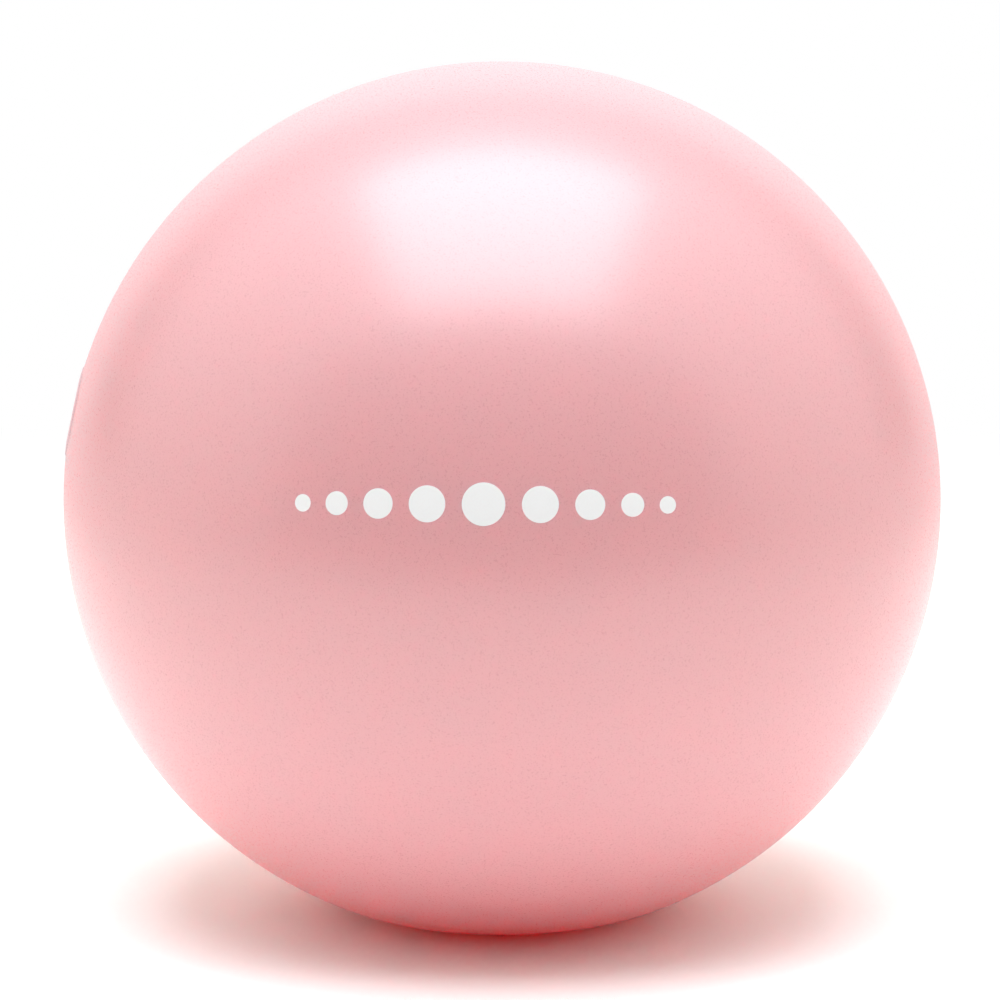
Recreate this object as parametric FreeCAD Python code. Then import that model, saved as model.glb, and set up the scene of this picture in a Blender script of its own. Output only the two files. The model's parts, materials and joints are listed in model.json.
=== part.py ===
"""Small inflatable exercise ball, standing on the floor, in millimetres.

+Z is up and the origin is the middle of the flat patch that the ball stands on. The ball is a thin
moulded PVC skin full of air. Its only opening is a valve on the -X side: a soft sleeve bonded
inside the skin, closed by a push-in plug whose head lies in a shallow recess.
"""
import FreeCAD, Part
import math
import os

# Ball
ball_diameter = 230.0
skin_thickness = 0.8
foot_radius = 24.5

# Where the valve points: degrees above the horizontal, and round from -X towards -Y
valve_rise_angle = 12.5
valve_turn_angle = 4.5

# Soft sleeve that grips the plug
sleeve_bore_radius = 2.5
sleeve_wall = 2.0
sleeve_length = 20.0
sleeve_mouth_bevel = 0.5
sleeve_tip_narrowing = 0.7
sleeve_tip_length = 4.0
sleeve_flange_width = 4.5
sleeve_flange_thickness = 1.2
sleeve_bond_gap = 0.05

# Stem of the plug
plug_clearance = 0.05
plug_neck_length = 1.4
plug_rib_count = 3
plug_rib_width = 1.2
plug_groove_width = 1.6
plug_groove_depth = 0.35
plug_tip_length = 3.0
plug_tip_narrowing = 1.1

# Head of the plug
plug_seat_width = 2.15
plug_lip_width = 1.0
plug_lip_lift = 0.4
plug_lip_side = 0.35
plug_edge_round = 0.45
plug_crown_rise = 0.45

# Recess in the skin round the head
finger_gap = 1.6
plug_set_back = 0.35
recess_mouth_round = 0.8
recess_floor_round = 0.6

# Thick pad moulded in the skin round the recess
pad_rim_width = 3.5
pad_edge_width = 0.6
pad_lift = 0.25
pad_floor_thickness = 2.0
pad_inner_taper = 1.5

# The skin is pressed flat where it stands, and air bends it away from the floor along an arc half
# as wide as the ball, so the ball stands a little lower than its diameter.
ball_radius = ball_diameter / 2
foot_bend_radius = ball_radius / 2
bend_reach = ball_radius - foot_bend_radius
foot_sag = bend_reach - math.sqrt(bend_reach**2 - foot_radius**2)
centre_height = ball_radius - foot_sag

# Distances from the valve's axis
stem_radius = sleeve_bore_radius - plug_clearance
plug_seat_radius = stem_radius + plug_seat_width
plug_head_radius = plug_seat_radius + plug_lip_width
recess_radius = plug_head_radius + finger_gap
pad_radius = recess_radius + recess_mouth_round + pad_rim_width
sleeve_radius = sleeve_bore_radius + sleeve_wall

# Heights along the valve's axis, from the ball's centre
pad_crown = ball_radius + pad_lift
plug_crown = pad_crown - plug_set_back
plug_dome_edge = plug_crown - plug_crown_rise
recess_floor = plug_dome_edge - 2 * plug_edge_round - plug_lip_side - plug_lip_lift
pad_inner_face = recess_floor - pad_floor_thickness


def at(radius, height):
    """A point of an outline: its distance from the axis, and its height along the axis."""
    return FreeCAD.Vector(radius, 0, height)


def line(start, end):
    """A straight edge of an outline."""
    return Part.LineSegment(start, end).toShape()


def arc(centre, start, end):
    """The shorter arc from start to end round centre."""
    middle = (start + end) * 0.5 - centre
    middle.normalize()
    return Part.Arc(start, centre + middle * (start - centre).Length, end).toShape()


def lines(points):
    """Straight edges from each point to the next."""
    return [line(start, end) for start, end in zip(points, points[1:])]


def turned(edges):
    """The solid that a closed outline sweeps in one turn round the Z axis."""
    outline = Part.Face(Part.Wire(edges))
    return outline.revolve(FreeCAD.Vector(0, 0, 0), FreeCAD.Vector(0, 0, 1), 360)


def on_sphere(sphere_radius, radius):
    """The upper point of a sphere about the origin at a distance from the axis."""
    return at(radius, math.sqrt(sphere_radius**2 - radius**2))


def on_valve_axis(shape):
    """Moves a shape built up the Z axis from the ball's centre to where the valve points."""
    rise = math.radians(valve_rise_angle)
    turn = math.radians(valve_turn_angle)
    level = math.cos(rise)
    axis = FreeCAD.Vector(-level * math.cos(turn), -level * math.sin(turn), math.sin(rise))
    rotation = FreeCAD.Rotation(FreeCAD.Vector(0, 0, 1), axis)
    shape.Placement = FreeCAD.Placement(at(0, centre_height), rotation)
    return shape


def filled_ball(inset):
    """The standing ball as a full solid, with its surface moved inwards by inset."""
    centre = at(0, centre_height)
    towards_bend = at(foot_radius, foot_bend_radius) - centre
    towards_bend.normalize()
    floor_edge = at(foot_radius, inset)
    bend_end = centre + towards_bend * (ball_radius - inset)
    widest = at(ball_radius - inset, centre_height)
    top = at(0, centre_height + ball_radius - inset)
    return turned(
        [
            arc(at(foot_radius, foot_bend_radius), floor_edge, bend_end),
            arc(centre, bend_end, widest),
            arc(centre, widest, top),
        ]
        + lines([top, at(0, inset), floor_edge])
    )


def valve_pad():
    """The pad: a little proud of the ball outside, flat inside, and tapered into the skin."""
    rim_radius = pad_radius + pad_edge_width
    taper_radius = pad_radius + pad_inner_taper
    middle_of_skin = ball_radius - skin_thickness / 2
    edge = on_sphere(pad_crown, pad_radius)
    crown = at(0, pad_crown)
    return turned(
        [arc(at(0, 0), edge, crown)]
        + lines(
            [
                crown,
                at(0, pad_inner_face),
                at(pad_radius, pad_inner_face),
                on_sphere(middle_of_skin, taper_radius),
                on_sphere(middle_of_skin, rim_radius),
                on_sphere(ball_radius, rim_radius),
                edge,
            ]
        )
    )


def recess_space():
    """The space for the plug's head: a round well with a soft mouth and a rounded foot."""
    mouth_round_centre = on_sphere(pad_crown - recess_mouth_round, recess_radius + recess_mouth_round)
    mouth = mouth_round_centre * (pad_crown / (pad_crown - recess_mouth_round))
    wall_top = at(recess_radius, mouth_round_centre.z)
    wall_foot = at(recess_radius, recess_floor + recess_floor_round)
    floor_edge = at(recess_radius - recess_floor_round, recess_floor)
    clear_of_ball = pad_crown + recess_radius
    return turned(
        [
            arc(at(floor_edge.x, wall_foot.z), floor_edge, wall_foot),
            line(wall_foot, wall_top),
            arc(mouth_round_centre, wall_top, mouth),
        ]
        + lines(
            [mouth, at(mouth.x, clear_of_ball), at(0, clear_of_ball), at(0, recess_floor), floor_edge]
        )
    )


def sleeve_hole():
    """The hole through the pad that the sleeve fills, cut past both faces of the pad."""
    low = pad_inner_face - skin_thickness
    high = recess_floor + skin_thickness
    return Part.makeCylinder(sleeve_radius + sleeve_bond_gap, high - low, at(0, low))


def ball_skin():
    """The hollow skin with its pad, recess and valve hole."""
    hollow_ball = filled_ball(0).cut(filled_ball(skin_thickness))
    padded = hollow_ball.fuse(on_valve_axis(valve_pad()))
    openings = [on_valve_axis(recess_space()), on_valve_axis(sleeve_hole())]
    return padded.cut(openings).removeSplitter()


def valve_sleeve():
    """A soft tube with a bevelled mouth and a flange that is bonded to the pad's inner face."""
    flange_radius = sleeve_radius + sleeve_flange_width
    flange_low = pad_inner_face - sleeve_flange_thickness
    tip = recess_floor - sleeve_length
    outline = [
        at(sleeve_bore_radius, tip),
        at(sleeve_radius - sleeve_tip_narrowing, tip),
        at(sleeve_radius, tip + sleeve_tip_length),
        at(sleeve_radius, flange_low),
        at(flange_radius, flange_low),
        at(flange_radius, pad_inner_face),
        at(sleeve_radius, pad_inner_face),
        at(sleeve_radius, recess_floor),
        at(sleeve_bore_radius + sleeve_mouth_bevel, recess_floor),
        at(sleeve_bore_radius, recess_floor - sleeve_mouth_bevel),
    ]
    return on_valve_axis(turned(lines(outline + outline[:1])))


def plug_head_edges():
    """The head's outline: its flat seat, then round the finger lip, and up to the crown."""
    inside_edge = plug_head_radius - plug_edge_round
    seat_edge = at(plug_seat_radius, recess_floor)
    lip_low = at(inside_edge, recess_floor + plug_lip_lift)
    lip_centre = lip_low + at(0, plug_edge_round)
    side_low = at(plug_head_radius, lip_centre.z)
    side_high = side_low + at(0, plug_lip_side)
    dome_edge = at(inside_edge, plug_dome_edge)
    dome_radius = (inside_edge**2 + plug_crown_rise**2) / (2 * plug_crown_rise)
    return [
        line(seat_edge, lip_low),
        arc(lip_centre, lip_low, side_low),
        line(side_low, side_high),
        arc(at(inside_edge, side_high.z), side_high, dome_edge),
        arc(at(0, plug_crown - dome_radius), dome_edge, at(0, plug_crown)),
    ]


def plug_stem_edges():
    """The stem's outline, from the tip up to the seat: a tapered tip, then grooves between ribs."""
    rib_pitch = plug_rib_width + plug_groove_width
    tip_top = recess_floor - plug_neck_length - plug_rib_count * rib_pitch
    tip = tip_top - plug_tip_length
    edges = lines([at(0, tip), at(stem_radius - plug_tip_narrowing, tip), at(stem_radius, tip_top)])
    groove_floor = stem_radius - plug_groove_depth
    for rib in range(plug_rib_count):
        rib_low = at(stem_radius, tip_top + rib * rib_pitch)
        rib_high = rib_low + at(0, plug_rib_width)
        groove_high = rib_high + at(0, plug_groove_width)
        groove_middle = at(groove_floor, (rib_high.z + groove_high.z) / 2)
        edges += [line(rib_low, rib_high), Part.Arc(rib_high, groove_middle, groove_high).toShape()]
    neck_low = at(stem_radius, recess_floor - plug_neck_length)
    return edges + lines([neck_low, at(stem_radius, recess_floor), at(plug_seat_radius, recess_floor)])


def valve_plug():
    """The plug: a domed head with a finger lip, on a ribbed stem that fills the sleeve's bore."""
    outline = plug_stem_edges() + plug_head_edges()
    tip = outline[0].Vertexes[0].Point
    return on_valve_axis(turned(outline + [line(at(0, plug_crown), tip)]))


def main():
    os.makedirs("parts", exist_ok=True)
    for make in (ball_skin, valve_sleeve, valve_plug):
        shape = make()
        shape.exportStep(f"parts/{make.__name__}.step")
        print(make.__name__, len(shape.Solids), "solid,", round(shape.Volume / 1000, 3), "cm3")
    print("stands", round(centre_height + ball_radius, 2), "mm high")


main()
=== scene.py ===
"""The looks of a small inflatable exercise ball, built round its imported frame, in metres.

The skin is one dense mesh, turned about the valve's axis and then pressed flat where it stands. The
sleeve behind its valve is turned about the same axis, and the push-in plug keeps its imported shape.
"""
import json
import math

import bmesh
import bpy
from bpy.props import FloatProperty, FloatVectorProperty, IntProperty, PointerProperty
from mathutils import Matrix, Vector


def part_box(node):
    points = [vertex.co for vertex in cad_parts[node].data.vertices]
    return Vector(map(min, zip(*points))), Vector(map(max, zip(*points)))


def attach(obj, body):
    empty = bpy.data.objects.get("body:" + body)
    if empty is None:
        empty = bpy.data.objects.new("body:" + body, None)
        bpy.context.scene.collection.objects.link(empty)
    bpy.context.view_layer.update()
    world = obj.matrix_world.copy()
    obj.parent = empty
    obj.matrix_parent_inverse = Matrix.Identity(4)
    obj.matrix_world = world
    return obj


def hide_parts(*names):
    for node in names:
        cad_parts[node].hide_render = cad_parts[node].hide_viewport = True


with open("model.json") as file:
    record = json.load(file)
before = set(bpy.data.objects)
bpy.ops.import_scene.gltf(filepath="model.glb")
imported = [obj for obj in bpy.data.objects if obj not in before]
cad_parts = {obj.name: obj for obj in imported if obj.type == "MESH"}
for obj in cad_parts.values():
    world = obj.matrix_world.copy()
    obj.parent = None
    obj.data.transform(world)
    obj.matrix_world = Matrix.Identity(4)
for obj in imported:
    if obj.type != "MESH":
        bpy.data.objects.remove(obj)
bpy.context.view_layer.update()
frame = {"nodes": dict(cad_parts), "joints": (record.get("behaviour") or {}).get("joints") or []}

bl_info = {
    "name": "Exercise ball",
    "version": (1, 0, 0),
    "blender": (4, 5, 0),
    "location": "3D View > Sidebar > Exercise ball",
    "description": "Builds the visible pieces of an inflatable exercise ball and a studio round it",
    "category": "Add Mesh",
}

MM = 0.001

# How finely round shapes are divided
FLOOR_ROUND_STEPS = 5
MOUTH_ROUND_STEPS = 7
PAD_STEPS = 4
SLEEVE_STEPS_ROUND = 128
DOT_STEPS_ROUND = 64
DOT_STEPS_OVER = 4
ARCH_STEPS = 48
INSIDE_STEPS_SHARE = 0.75

# A point nearer than this to the valve's axis is on it, and a face this far under the recess is in it
ON_AXIS = 0.0001 * MM
UNDER_RECESS = 0.1 * MM

# Noise lies mostly between these two values, and it changes a surface's roughness by this much
NOISE_LOW, NOISE_HIGH = 0.3, 0.7
GLOSS_CHANGE = 0.04


def linear(hex_colour):
    """The linear RGB of an sRGB colour written as six hex digits."""
    channels = [int(hex_colour[i : i + 2], 16) / 255 for i in (0, 2, 4)]
    return tuple(c / 12.92 if c <= 0.04045 else ((c + 0.055) / 1.055) ** 2.4 for c in channels)


def colour(name, description, hex_colour):
    """A colour that a user can change, given as it looks on a screen."""
    return FloatVectorProperty(
        name=name, description=description, default=linear(hex_colour), subtype="COLOR", min=0, max=1
    )


def length(name, description, metres):
    """A length that a user can change."""
    return FloatProperty(
        name=name, description=description, default=metres, unit="LENGTH", precision=5, min=0
    )


def share(name, description, value):
    """A plain number that a user can change, such as a share or a lamp's brightness."""
    return FloatProperty(name=name, description=description, default=value, min=0)


def angle(name, description, degrees):
    """An angle that a user can change."""
    return FloatProperty(
        name=name, description=description, default=math.radians(degrees), unit="ROTATION"
    )


class SkinSettings(bpy.types.PropertyGroup):
    """Sizes and finish of the moulded skin."""

    thickness: length("Thickness", "Wall of the skin", 0.8 * MM)
    steps_round: IntProperty(name="Steps round", description="Faces in each ring", default=256, min=32)
    steps_over: IntProperty(
        name="Steps over", description="Rings from the valve to the far side", default=128, min=16
    )
    dye: colour("Dye", "Colour of the soft PVC", "F8ADB4")
    light_through: colour("Light through", "How much of each colour passes a face of the wall", "BA3447")
    pad_dye: colour("Pad dye", "Colour of the same PVC where the valve's pad makes it thick", "E4A9AF")
    roughness: share("Roughness", "Satin finish left by the mould", 0.3)
    grain: length("Grain", "Spacing of the mould's fine matt grain", 0.45 * MM)
    grain_depth: length("Grain depth", "Height of the mould's fine matt grain", 0.003 * MM)


class ValveSettings(bpy.types.PropertyGroup):
    """Sizes and colours of the pad, the recess and the two pieces of the valve."""

    pad_lift: length("Pad lift", "How far the pad stands proud of the ball", 0.25 * MM)
    pad_radius: length("Pad radius", "Top of the pad", 11.5 * MM)
    pad_edge: length("Pad edge", "Width of the slope round the pad", 0.6 * MM)
    pad_floor: length("Pad floor", "Thickness of the pad under the recess", 2.0 * MM)
    pad_taper: length("Pad taper", "Width of the slope from the pad to the skin inside", 1.5 * MM)
    finger_gap: length("Finger gap", "Room for a fingernail round the plug's head", 1.6 * MM)
    mouth_round: length("Mouth round", "Radius of the recess's soft mouth", 0.8 * MM)
    floor_round: length("Floor round", "Radius at the foot of the recess's wall", 0.6 * MM)
    sleeve_wall: length("Sleeve wall", "Wall of the sleeve where it fills the pad", 2.0 * MM)
    sleeve_bevel: length("Sleeve bevel", "At the sleeve's mouth", 0.5 * MM)
    flange_thickness: length("Flange thickness", "Of the sleeve's flange behind the pad", 1.2 * MM)
    tip_length: length("Tip length", "Narrowed end of the sleeve", 4.0 * MM)
    tip_narrowing: length("Tip narrowing", "How much thinner the sleeve's wall is at its tip", 0.7 * MM)
    sleeve_dye: colour("Sleeve dye", "Colour of the sleeve's soft PVC", "EBA9AD")
    plug_dye: colour("Plug dye", "Colour of the plug's polyethylene", "F1F0EC")


class PrintSettings(bpy.types.PropertyGroup):
    """A plain row of ink dots, largest in the middle."""

    count: IntProperty(name="Dots", description="Dots in the row", default=9, min=2)
    row_length: length("Row length", "Along the ball, from end to end", 93 * MM)
    largest: length("Largest dot", "Diameter of the middle dot", 10.3 * MM)
    smallest: length("Smallest dot", "Diameter of the two end dots", 4.2 * MM)
    ink_thickness: length("Ink thickness", "How far the ink stands proud of the skin", 0.03 * MM)
    rise: angle("Rise", "Elevation of the row seen from the ball's centre", 8.0)
    turn: angle("Turn", "Of the row's middle, round from the front towards the valve", 2.2)
    ink: colour("Ink", "Colour of the ink", "FFFDFD")


class StageSettings(bpy.types.PropertyGroup):
    """Camera, lamp, pale room, drapes and floor."""

    camera_distance: length("Camera distance", "From the lens to the ball's centre", 1.05)
    camera_rise: angle("Camera rise", "Elevation of the camera seen from the ball's centre", 8.5)
    ball_share: share("Ball in picture", "Radius of the ball as a share of the picture's width", 0.4387)
    camera_shift: share("Camera shift", "Ball right of the middle, as a share of the picture", 0.0021)
    clip_end: length("Clip end", "How far the camera sees", 100.0)
    key_height: length("Key height", "Of the overhead softbox above the ball's centre", 1.0)
    key_forward: length("Key forward", "Of the overhead softbox's middle, towards the camera", 0.21)
    key_width: length("Key width", "Of the overhead softbox, left to right", 0.94)
    key_depth: length("Key depth", "Of the overhead softbox, front to back", 0.93)
    key_strength: share("Key strength", "Brightness of the softbox, where white is 1", 4.95)
    key_tint: colour("Key tint", "Colour of the overhead softbox", "F1F8FF")
    room_strength: share("Room strength", "Light of the pale room, where white is 1", 1.08)
    room_tint: colour("Room tint", "Colour of the pale room's light", "FFFCF2")
    drape_distance: length("Drape distance", "Of the black drape behind the camera, from the ball", 3.0)
    drape_width: length("Drape width", "Of the black drape behind the camera", 9.6)
    drape_top: length("Drape top", "Of the black drape behind the camera, above the ball's centre", 4.0)
    drape_shade: share("Drape shade", "Share of the light that the black cloth throws back", 0.01)
    cloth_start: length("Cloth start", "Of the black cloth on the floor in front, from the ball", 0.6)
    cloth_lift: length("Cloth lift", "Of the black cloth above the paper", 0.5 * MM)
    arch_distance: length("Arch distance", "Of the grey arch behind the ball, from the ball", 1.5)
    arch_inner: length("Arch inner radius", "Of the grey arch behind the ball", 1.5)
    arch_outer: length("Arch outer radius", "Of the grey arch behind the ball", 3.1)
    arch_shade: share("Arch shade", "Share of the light that the grey cloth throws back", 0.5)
    floor_size: length("Floor size", "Side of the floor", 30.0)
    floor_paper: share("Paper", "Share of the light that the paper throws back", 0.95)
    floor_seen: share("Paper seen", "The same where the camera sees it, so that the floor is white", 1.22)
    floor_clear: length("Shadow reach", "Where the floor starts to fade to plain white", 0.45)
    floor_white: length("White from", "Where the floor is plain white, from the ball's middle", 1.0)


# Where things are in the frame
skin_low, skin_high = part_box("ball_skin")
BALL_RADIUS = (skin_high.x - skin_low.x) / 2
BALL_CENTRE = Vector((0, 0, skin_high.z - BALL_RADIUS))
FOOT_SAG = BALL_RADIUS - BALL_CENTRE.z
FOOT_BEND = BALL_RADIUS / 2
FOOT_RADIUS = math.sqrt(FOOT_SAG * (BALL_RADIUS - FOOT_SAG))
VALVE_AXIS = Vector(frame["joints"][0]["axis"]).normalized()


def reach(node):
    """How near and far a node lies from the valve's axis, and its lowest and highest place along it."""
    places = [v.co - BALL_CENTRE for v in frame["nodes"][node].data.vertices]
    along = [p.dot(VALVE_AXIS) for p in places]
    off = [(p - VALVE_AXIS * a).length for p, a in zip(places, along)]
    return min(off), max(off), min(along), max(along)


BORE_RADIUS, FLANGE_RADIUS, SLEEVE_TIP, RECESS_FLOOR = reach("valve_sleeve")
PLUG_HEAD_RADIUS = reach("valve_plug")[1]


def add_node(tree, kind, settings=None, links=None):
    """Adds a shader node. Settings go to its properties or sockets, and links feed its sockets."""
    node = tree.nodes.new("ShaderNode" + kind)
    for name, value in (settings or {}).items():
        if isinstance(name, str) and hasattr(node, name):
            setattr(node, name, value)
        else:
            node.inputs[name].default_value = value
    for name, socket in (links or {}).items():
        tree.links.new(socket, node.inputs[name])
    return node


def new_material(name):
    """A material with only an output node."""
    material = bpy.data.materials.new(name)
    material.use_nodes = True
    material.node_tree.nodes.clear()
    return material, material.node_tree


def set_surface(tree, shader):
    """Makes a shader the surface of its material."""
    add_node(tree, "OutputMaterial", links={"Surface": shader.outputs[0]})


def grained(tree, grain, low, high):
    """A value that follows a grain pattern between low and high."""
    settings = {"From Min": NOISE_LOW, "From Max": NOISE_HIGH, "To Min": low, "To Max": high}
    return add_node(tree, "MapRange", settings, {"Value": grain.outputs["Fac"]}).outputs["Result"]


def tinted(tree, dye, shade):
    """A dye made lighter or darker by a shade that lies about 1."""
    settings = {"data_type": "RGBA", "blend_type": "MULTIPLY", 0: 1, 6: (*dye, 1)}
    return add_node(tree, "Mix", settings, {7: shade}).outputs[2]


def moulded(tree, dye, roughness, grain_size, grain_depth, colour_change=0.01, ior=1.53, shine=0.5):
    """A moulded plastic: one dye, with the mould's fine grain in its height, gloss and shade."""
    place = add_node(tree, "TexCoord").outputs["Object"]
    grain = add_node(
        tree, "TexNoise", {"Scale": 1 / grain_size, "Detail": 1.0, "Roughness": 0.6}, {"Vector": place}
    )
    shade = grained(tree, grain, 1 - colour_change, 1 + colour_change)
    gloss = grained(tree, grain, roughness - GLOSS_CHANGE, roughness + GLOSS_CHANGE)
    bump = add_node(
        tree, "Bump", {"Strength": 1.0, "Distance": grain_depth}, {"Height": grain.outputs["Fac"]}
    )
    return add_node(
        tree,
        "BsdfPrincipled",
        {"IOR": ior, "Specular IOR Level": shine},
        {
            "Base Color": tinted(tree, dye, shade),
            "Roughness": gloss,
            "Normal": bump.outputs["Normal"],
        },
    )


def skin_surface(tree, skin, dye):
    """The satin surface of the skin in one dye."""
    return moulded(
        tree, dye, skin.roughness, skin.grain, skin.grain_depth, colour_change=0.02, shine=0.7
    )


def soft_skin_pvc(skin):
    """Soft PVC, rotationally moulded and thin: satin with a fine matt grain, and red light passes it."""
    material, tree = new_material("Soft PVC, rotationally moulded")
    kept = [dye * (1 - passed) for dye, passed in zip(skin.dye, skin.light_through)]
    passed = [dye * passed for dye, passed in zip(skin.dye, skin.light_through)]
    surface = skin_surface(tree, skin, kept)
    glow = add_node(tree, "BsdfTranslucent", {"Color": (*passed, 1)})
    set_surface(tree, add_node(tree, "AddShader", links={0: surface.outputs[0], 1: glow.outputs[0]}))
    return material


def pad_pvc(skin):
    """The same soft PVC where the pad makes it too thick for light to pass."""
    material, tree = new_material("Soft PVC, rotationally moulded, thick")
    set_surface(tree, skin_surface(tree, skin, skin.pad_dye))
    return material


def sleeve_pvc(valve):
    """Soft PVC, injection moulded in a polished mould: too thick for light to pass."""
    material, tree = new_material("Soft PVC, injection moulded")
    surface = moulded(
        tree, valve.sleeve_dye, roughness=0.34, grain_size=0.6 * MM, grain_depth=0.003 * MM
    )
    set_surface(tree, surface)
    return material


def waxy_polyethylene(valve):
    """Polyethylene, injection moulded: a waxy, slightly yellow white."""
    material, tree = new_material("Polyethylene, injection moulded")
    surface = moulded(
        tree, valve.plug_dye, roughness=0.42, grain_size=0.5 * MM, grain_depth=0.003 * MM, ior=1.51
    )
    set_surface(tree, surface)
    return material


def printing_ink(row):
    """PVC ink, screen printed: a thin opaque film, a little more matt than the skin under it."""
    material, tree = new_material("PVC ink, screen printed")
    surface = moulded(
        tree, row.ink, roughness=0.42, grain_size=0.5 * MM, grain_depth=0.002 * MM, ior=1.5
    )
    set_surface(tree, surface)
    return material


def arc(centre, radius, start, end, steps):
    """Points of an arc in a section, from one angle to another, in radians from outwards to up."""
    turns = (start + (end - start) * i / steps for i in range(steps + 1))
    return [(centre[0] + radius * math.cos(t), centre[1] + radius * math.sin(t)) for t in turns]


def over_sphere(radius, near, far, steps):
    """Points over a sphere about the ball's centre, between two angles from the valve's axis."""
    return arc((0, 0), radius, math.pi / 2 - near, math.pi / 2 - far, steps)


def skin_section(skin, valve):
    """The skin's outer line from the sleeve's hole to the ball's far side, and its inner line back."""
    crown = BALL_RADIUS + valve.pad_lift
    inner = BALL_RADIUS - skin.thickness
    hole = BORE_RADIUS + valve.sleeve_wall
    well = PLUG_HEAD_RADIUS + valve.finger_gap
    pad_face = RECESS_FLOOR - valve.pad_floor
    lip = crown - valve.mouth_round
    lip_off = well + valve.mouth_round
    lip_up = math.sqrt(lip**2 - lip_off**2)
    lip_lean = math.atan2(lip_up, lip_off)
    pad_angle = math.asin(valve.pad_radius / crown)
    rim_angle = math.asin((valve.pad_radius + valve.pad_edge) / BALL_RADIUS)
    taper_angle = math.asin((valve.pad_radius + valve.pad_taper) / inner)
    floor_round = (well - valve.floor_round, RECESS_FLOOR + valve.floor_round)
    outer = (
        [(hole, RECESS_FLOOR)]
        + arc(floor_round, valve.floor_round, -math.pi / 2, 0, FLOOR_ROUND_STEPS)
        + arc((lip_off, lip_up), valve.mouth_round, math.pi, lip_lean, MOUTH_ROUND_STEPS)
        + over_sphere(crown, math.pi / 2 - lip_lean, pad_angle, PAD_STEPS)[1:]
        + over_sphere(BALL_RADIUS, rim_angle, math.pi, skin.steps_over)
    )
    inside = over_sphere(inner, math.pi, taper_angle, round(skin.steps_over * INSIDE_STEPS_SHARE))
    return outer, inside + [(valve.pad_radius, pad_face), (hole, pad_face)]


def sleeve_section(valve):
    """The sleeve's line: up its outside, round its flange, over its mouth and down its bore."""
    outside = BORE_RADIUS + valve.sleeve_wall
    pad_face = RECESS_FLOOR - valve.pad_floor
    flange_low = pad_face - valve.flange_thickness
    return [
        (outside - valve.tip_narrowing, SLEEVE_TIP),
        (outside, SLEEVE_TIP + valve.tip_length),
        (outside, flange_low),
        (FLANGE_RADIUS, flange_low),
        (FLANGE_RADIUS, pad_face),
        (outside, pad_face),
        (outside, RECESS_FLOOR),
        (BORE_RADIUS + valve.sleeve_bevel, RECESS_FLOOR),
        (BORE_RADIUS, RECESS_FLOOR - valve.sleeve_bevel),
        (BORE_RADIUS, SLEEVE_TIP),
    ]


def press_flat(point, inset):
    """Where a point of the round ball goes when the ball stands: flat, then bent, then as it was."""
    off = math.hypot(point.x, point.y)
    leaves_bend = FOOT_RADIUS * BALL_RADIUS / (BALL_RADIUS - FOOT_BEND)
    if point.z > BALL_CENTRE.z or off >= leaves_bend * (1 - inset / BALL_RADIUS):
        return point
    past = max(off - FOOT_RADIUS, 0)
    return Vector((point.x, point.y, FOOT_BEND - math.sqrt((FOOT_BEND - inset) ** 2 - past**2)))


def turn_rings(mesh, rings, steps, place):
    """Adds a closed shape turned from rings of (distance, height): place maps each point to the ball."""
    rows = []
    for row, (off, up) in enumerate(rings):
        count = 1 if off < ON_AXIS else steps
        turns = (2 * math.pi * i / steps for i in range(count))
        points = (Vector((off * math.cos(t), off * math.sin(t), up)) for t in turns)
        rows.append([mesh.verts.new(place(row, point)) for point in points])
    for row, after in zip(rows, rows[1:] + rows[:1]):
        for i in range(steps):
            j = (i + 1) % steps
            corners = [row[i % len(row)], row[j % len(row)], after[j % len(after)], after[i % len(after)]]
            corners = list(dict.fromkeys(corners))
            if len(corners) > 2:
                mesh.faces.new(corners)


def finish_piece(name, mesh, material, sharp_degrees=30):
    """Makes a mesh a smooth piece of the ball with one material, creased where it turns sharply."""
    bmesh.ops.recalc_face_normals(mesh, faces=mesh.faces)
    data = bpy.data.meshes.new(name)
    mesh.to_mesh(data)
    mesh.free()
    data.shade_smooth()
    data.set_sharp_from_angle(angle=math.radians(sharp_degrees))
    data.materials.append(material)
    piece = bpy.data.objects.new(name, data)
    bpy.context.scene.collection.objects.link(piece)
    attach(piece, "ball")
    return piece


def on_pad(place, valve):
    """1 where a place is on the outside of the pad or in its recess, and 0 elsewhere."""
    from_centre = place - BALL_CENTRE
    along = from_centre.dot(VALVE_AXIS)
    off = (from_centre - VALVE_AXIS * along).length
    return int(along > RECESS_FLOOR - UNDER_RECESS and off < valve.pad_radius + valve.pad_edge)


def from_ball_centre(direction):
    """The place of a shape whose up axis runs from the ball's centre along a direction."""
    return Matrix.Translation(BALL_CENTRE) @ direction.to_track_quat("Z", "Y").to_matrix().to_4x4()


class OBJECT_OT_add_ball_skin(bpy.types.Operator):
    """Adds the moulded skin of the ball, standing on its flattened foot"""

    bl_idname = "object.add_ball_skin"
    bl_label = "Ball skin"

    def execute(self, context):
        skin, valve = context.scene.ball_skin, context.scene.ball_valve
        outer, inside = skin_section(skin, valve)
        to_ball = from_ball_centre(VALVE_AXIS)

        def place(row, point):
            return press_flat(to_ball @ point, 0 if row < len(outer) else skin.thickness)

        mesh = bmesh.new()
        turn_rings(mesh, outer + inside, skin.steps_round, place)
        piece = finish_piece("ball_skin_soft", mesh, soft_skin_pvc(skin))
        piece.data.materials.append(pad_pvc(skin))
        for face in piece.data.polygons:
            face.material_index = on_pad(face.center, valve)
        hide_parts("ball_skin")
        return {"FINISHED"}


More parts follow.
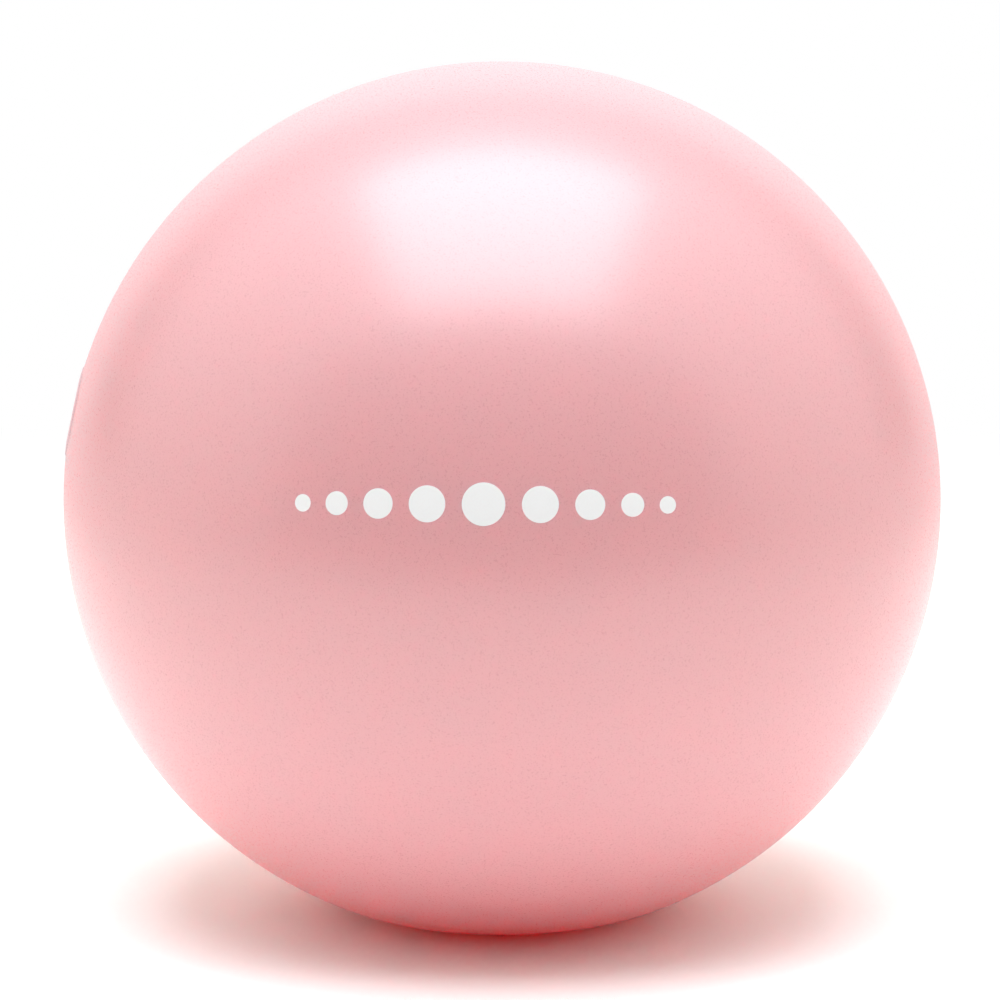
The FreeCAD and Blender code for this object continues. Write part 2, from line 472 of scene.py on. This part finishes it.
class OBJECT_OT_add_valve(bpy.types.Operator):
    """Adds the valve's soft sleeve and gives the plug its moulded finish"""

    bl_idname = "object.add_valve"
    bl_label = "Valve"

    def execute(self, context):
        valve = context.scene.ball_valve
        to_ball = from_ball_centre(VALVE_AXIS)
        mesh = bmesh.new()
        turn_rings(mesh, sleeve_section(valve), SLEEVE_STEPS_ROUND, lambda row, point: to_ball @ point)
        piece = finish_piece("valve_sleeve_soft", mesh, sleeve_pvc(valve))
        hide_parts("valve_sleeve")
        slots = frame["nodes"]["valve_plug"].data.materials
        slots.clear()
        slots.append(waxy_polyethylene(valve))
        return {"FINISHED"}


class OBJECT_OT_add_print(bpy.types.Operator):
    """Adds the row of ink dots on the front of the ball"""

    bl_idname = "object.add_print"
    bl_label = "Print"

    def execute(self, context):
        row = context.scene.ball_print
        middle = Vector(
            (
                -math.sin(row.turn) * math.cos(row.rise),
                -math.cos(row.turn) * math.cos(row.rise),
                math.sin(row.rise),
            )
        )
        along = Vector((0, 0, 1)).cross(middle).normalized()
        centre_dot = (row.count - 1) / 2
        shrink = (row.largest - row.smallest) / centre_dot
        sizes = [row.largest - shrink * abs(i - centre_dot) for i in range(row.count)]
        gap = (row.row_length - sum(sizes)) / (row.count - 1)
        mesh = bmesh.new()
        start = -row.row_length / 2
        for size in sizes:
            turn = (start + size / 2) / BALL_RADIUS
            start += size + gap
            to_ball = from_ball_centre(middle * math.cos(turn) + along * math.sin(turn))
            edge = size / 2 / BALL_RADIUS
            top = BALL_RADIUS + row.ink_thickness
            under = BALL_RADIUS - row.ink_thickness
            rings = over_sphere(top, 0, edge - row.ink_thickness / BALL_RADIUS, DOT_STEPS_OVER)
            rings += over_sphere(under, edge, 0, DOT_STEPS_OVER)
            turn_rings(mesh, rings, DOT_STEPS_ROUND, lambda ring, point: to_ball @ point)
        finish_piece("print_dots", mesh, printing_ink(row))
        return {"FINISHED"}


def seen_directly(tree):
    """1 where the camera, a glossy surface or glass sees a shader, and 0 where it only lights things."""
    path = add_node(tree, "LightPath").outputs
    seen = add_node(
        tree, "Math", {"operation": "MAXIMUM"}, {0: path["Is Camera Ray"], 1: path["Is Glossy Ray"]}
    )
    return add_node(
        tree, "Math", {"operation": "MAXIMUM"}, {0: seen.outputs[0], 1: path["Is Transmission Ray"]}
    ).outputs[0]


def backdrop_paper(stage):
    """Matt white backdrop paper, rolled: it takes the ball's shadow and is plain white farther out."""
    material, tree = new_material("Backdrop paper, rolled")
    seen = seen_directly(tree)
    brightness = add_node(
        tree, "MapRange", {"To Min": stage.floor_paper, "To Max": stage.floor_seen}, {"Value": seen}
    )
    paper = add_node(tree, "BsdfDiffuse", links={"Color": brightness.outputs["Result"]})
    white = add_node(tree, "Emission", {"Color": (1, 1, 1, 1), "Strength": 1.0})
    place = add_node(tree, "NewGeometry").outputs["Position"]
    away = add_node(tree, "VectorMath", {"operation": "LENGTH"}, {0: place})
    fade = {
        "interpolation_type": "SMOOTHSTEP",
        "From Min": stage.floor_clear,
        "From Max": stage.floor_white,
    }
    far = add_node(tree, "MapRange", fade, {"Value": away.outputs["Value"]})
    share_white = add_node(tree, "Math", {"operation": "MULTIPLY"}, {0: far.outputs["Result"], 1: seen})
    shader = add_node(
        tree, "MixShader", links={0: share_white.outputs[0], 1: paper.outputs[0], 2: white.outputs[0]}
    )
    set_surface(tree, shader)
    return material


def studio_cloth(name, shade):
    """Heavy cotton studio cloth, matt."""
    material, tree = new_material(name)
    set_surface(tree, add_node(tree, "BsdfDiffuse", {"Color": (shade, shade, shade, 1)}))
    return material


def add_sheet(name, corners, material):
    """A flat piece of the stage."""
    data = bpy.data.meshes.new(name)
    data.from_pydata(corners, [], [tuple(range(len(corners)))])
    data.materials.append(material)
    sheet = bpy.data.objects.new(name, data)
    bpy.context.scene.collection.objects.link(sheet)
    return sheet


def add_floor(stage):
    """The sheet of paper that the ball stands on."""
    half = stage.floor_size / 2
    corners = [(-half, -half, 0), (half, -half, 0), (half, half, 0), (-half, half, 0)]
    add_sheet("floor", corners, backdrop_paper(stage))


def add_drapes(stage):
    """Cloth that the camera doesn't see: black in front of the ball, and a grey arch behind it."""
    side, front, top = stage.drape_width / 2, -stage.drape_distance, BALL_CENTRE.z + stage.drape_top
    corners = [(side, front, 0), (-side, front, 0), (-side, front, top), (side, front, top)]
    black = studio_cloth("Studio cloth, black", stage.drape_shade)
    drape = add_sheet("drape", corners, black)
    near, lift = -stage.cloth_start, stage.cloth_lift
    corners = [(side, near, lift), (-side, near, lift), (-side, front, lift), (side, front, lift)]
    cloth = add_sheet("cloth", corners, black)
    line = arc((0, 0), stage.arch_outer, 0, math.pi, ARCH_STEPS)
    line += arc((0, 0), stage.arch_inner, math.pi, 0, ARCH_STEPS)
    corners = [(x, stage.arch_distance, BALL_CENTRE.z + z) for x, z in line]
    arch = add_sheet("arch", corners, studio_cloth("Studio cloth, grey", stage.arch_shade))
    for sheet in (drape, cloth, arch):
        sheet.visible_camera = False


def add_camera(stage):
    """A camera in front of the ball, whose lens gives the ball its size in the picture."""
    data = bpy.data.cameras.new("Camera")
    distance, radius = stage.camera_distance, BALL_RADIUS
    seen_radius = radius / math.sqrt(distance**2 - radius**2)
    data.lens = data.sensor_width * stage.ball_share / seen_radius
    data.shift_x = -stage.camera_shift
    data.clip_end = stage.clip_end
    camera = bpy.data.objects.new("Camera", data)
    back = Vector((0, -math.cos(stage.camera_rise), math.sin(stage.camera_rise)))
    camera.location = BALL_CENTRE + back * distance
    camera.rotation_euler = back.to_track_quat("Z", "Y").to_euler()
    bpy.context.scene.collection.objects.link(camera)
    bpy.context.scene.camera = camera


def add_softbox(stage):
    """The overhead softbox: a rectangular lamp that faces the floor."""
    data = bpy.data.lights.new("key", "AREA")
    data.shape = "RECTANGLE"
    data.size, data.size_y = stage.key_width, stage.key_depth
    data.color = stage.key_tint
    area = stage.key_width * stage.key_depth
    data.energy = stage.key_strength * math.pi * area
    lamp = bpy.data.objects.new("key", data)
    lamp.location = BALL_CENTRE + Vector((0, -stage.key_forward, stage.key_height))
    lamp.visible_camera = False
    bpy.context.scene.collection.objects.link(lamp)


def add_pale_room(stage):
    """A pale room all round, which the camera and glossy surfaces see as plain white."""
    world = bpy.data.worlds.new("Pale room")
    world.use_nodes = True
    tree = world.node_tree
    tree.nodes.clear()
    light = add_node(
        tree, "Background", {"Color": (*stage.room_tint, 1), "Strength": stage.room_strength}
    )
    white = add_node(tree, "Background", {"Color": (1, 1, 1, 1), "Strength": 1.0})
    room = add_node(
        tree, "MixShader", links={0: seen_directly(tree), 1: light.outputs[0], 2: white.outputs[0]}
    )
    add_node(tree, "OutputWorld", links={"Surface": room.outputs[0]})
    bpy.context.scene.world = world


class OBJECT_OT_add_stage(bpy.types.Operator):
    """Adds the floor, the drapes, the lamp, the pale room and the camera"""

    bl_idname = "object.add_stage"
    bl_label = "Stage"

    def execute(self, context):
        stage = context.scene.ball_stage
        add_floor(stage)
        add_drapes(stage)
        add_softbox(stage)
        add_pale_room(stage)
        add_camera(stage)
        context.scene.view_settings.view_transform = "Standard"
        return {"FINISHED"}


class VIEW3D_PT_exercise_ball(bpy.types.Panel):
    """Lists the pieces of the ball in the sidebar"""

    bl_label = "Exercise ball"
    bl_space_type = "VIEW_3D"
    bl_region_type = "UI"
    bl_category = "Exercise ball"

    def draw(self, context):
        for operator in OPERATORS:
            self.layout.operator(operator.bl_idname)


SETTINGS = {
    "ball_skin": SkinSettings,
    "ball_valve": ValveSettings,
    "ball_print": PrintSettings,
    "ball_stage": StageSettings,
}
OPERATORS = (
    OBJECT_OT_add_stage,
    OBJECT_OT_add_ball_skin,
    OBJECT_OT_add_valve,
    OBJECT_OT_add_print,
)


def register():
    for kind in (*SETTINGS.values(), *OPERATORS, VIEW3D_PT_exercise_ball):
        bpy.utils.register_class(kind)
    for name, kind in SETTINGS.items():
        setattr(bpy.types.Scene, name, PointerProperty(type=kind))


def unregister():
    for name in SETTINGS:
        delattr(bpy.types.Scene, name)
    for kind in (VIEW3D_PT_exercise_ball, *reversed(OPERATORS), *SETTINGS.values()):
        bpy.utils.unregister_class(kind)


def main():
    register()
    bpy.ops.object.add_stage()
    bpy.ops.object.add_ball_skin()
    bpy.ops.object.add_valve()
    bpy.ops.object.add_print()


if __name__ == "__main__":
    main()
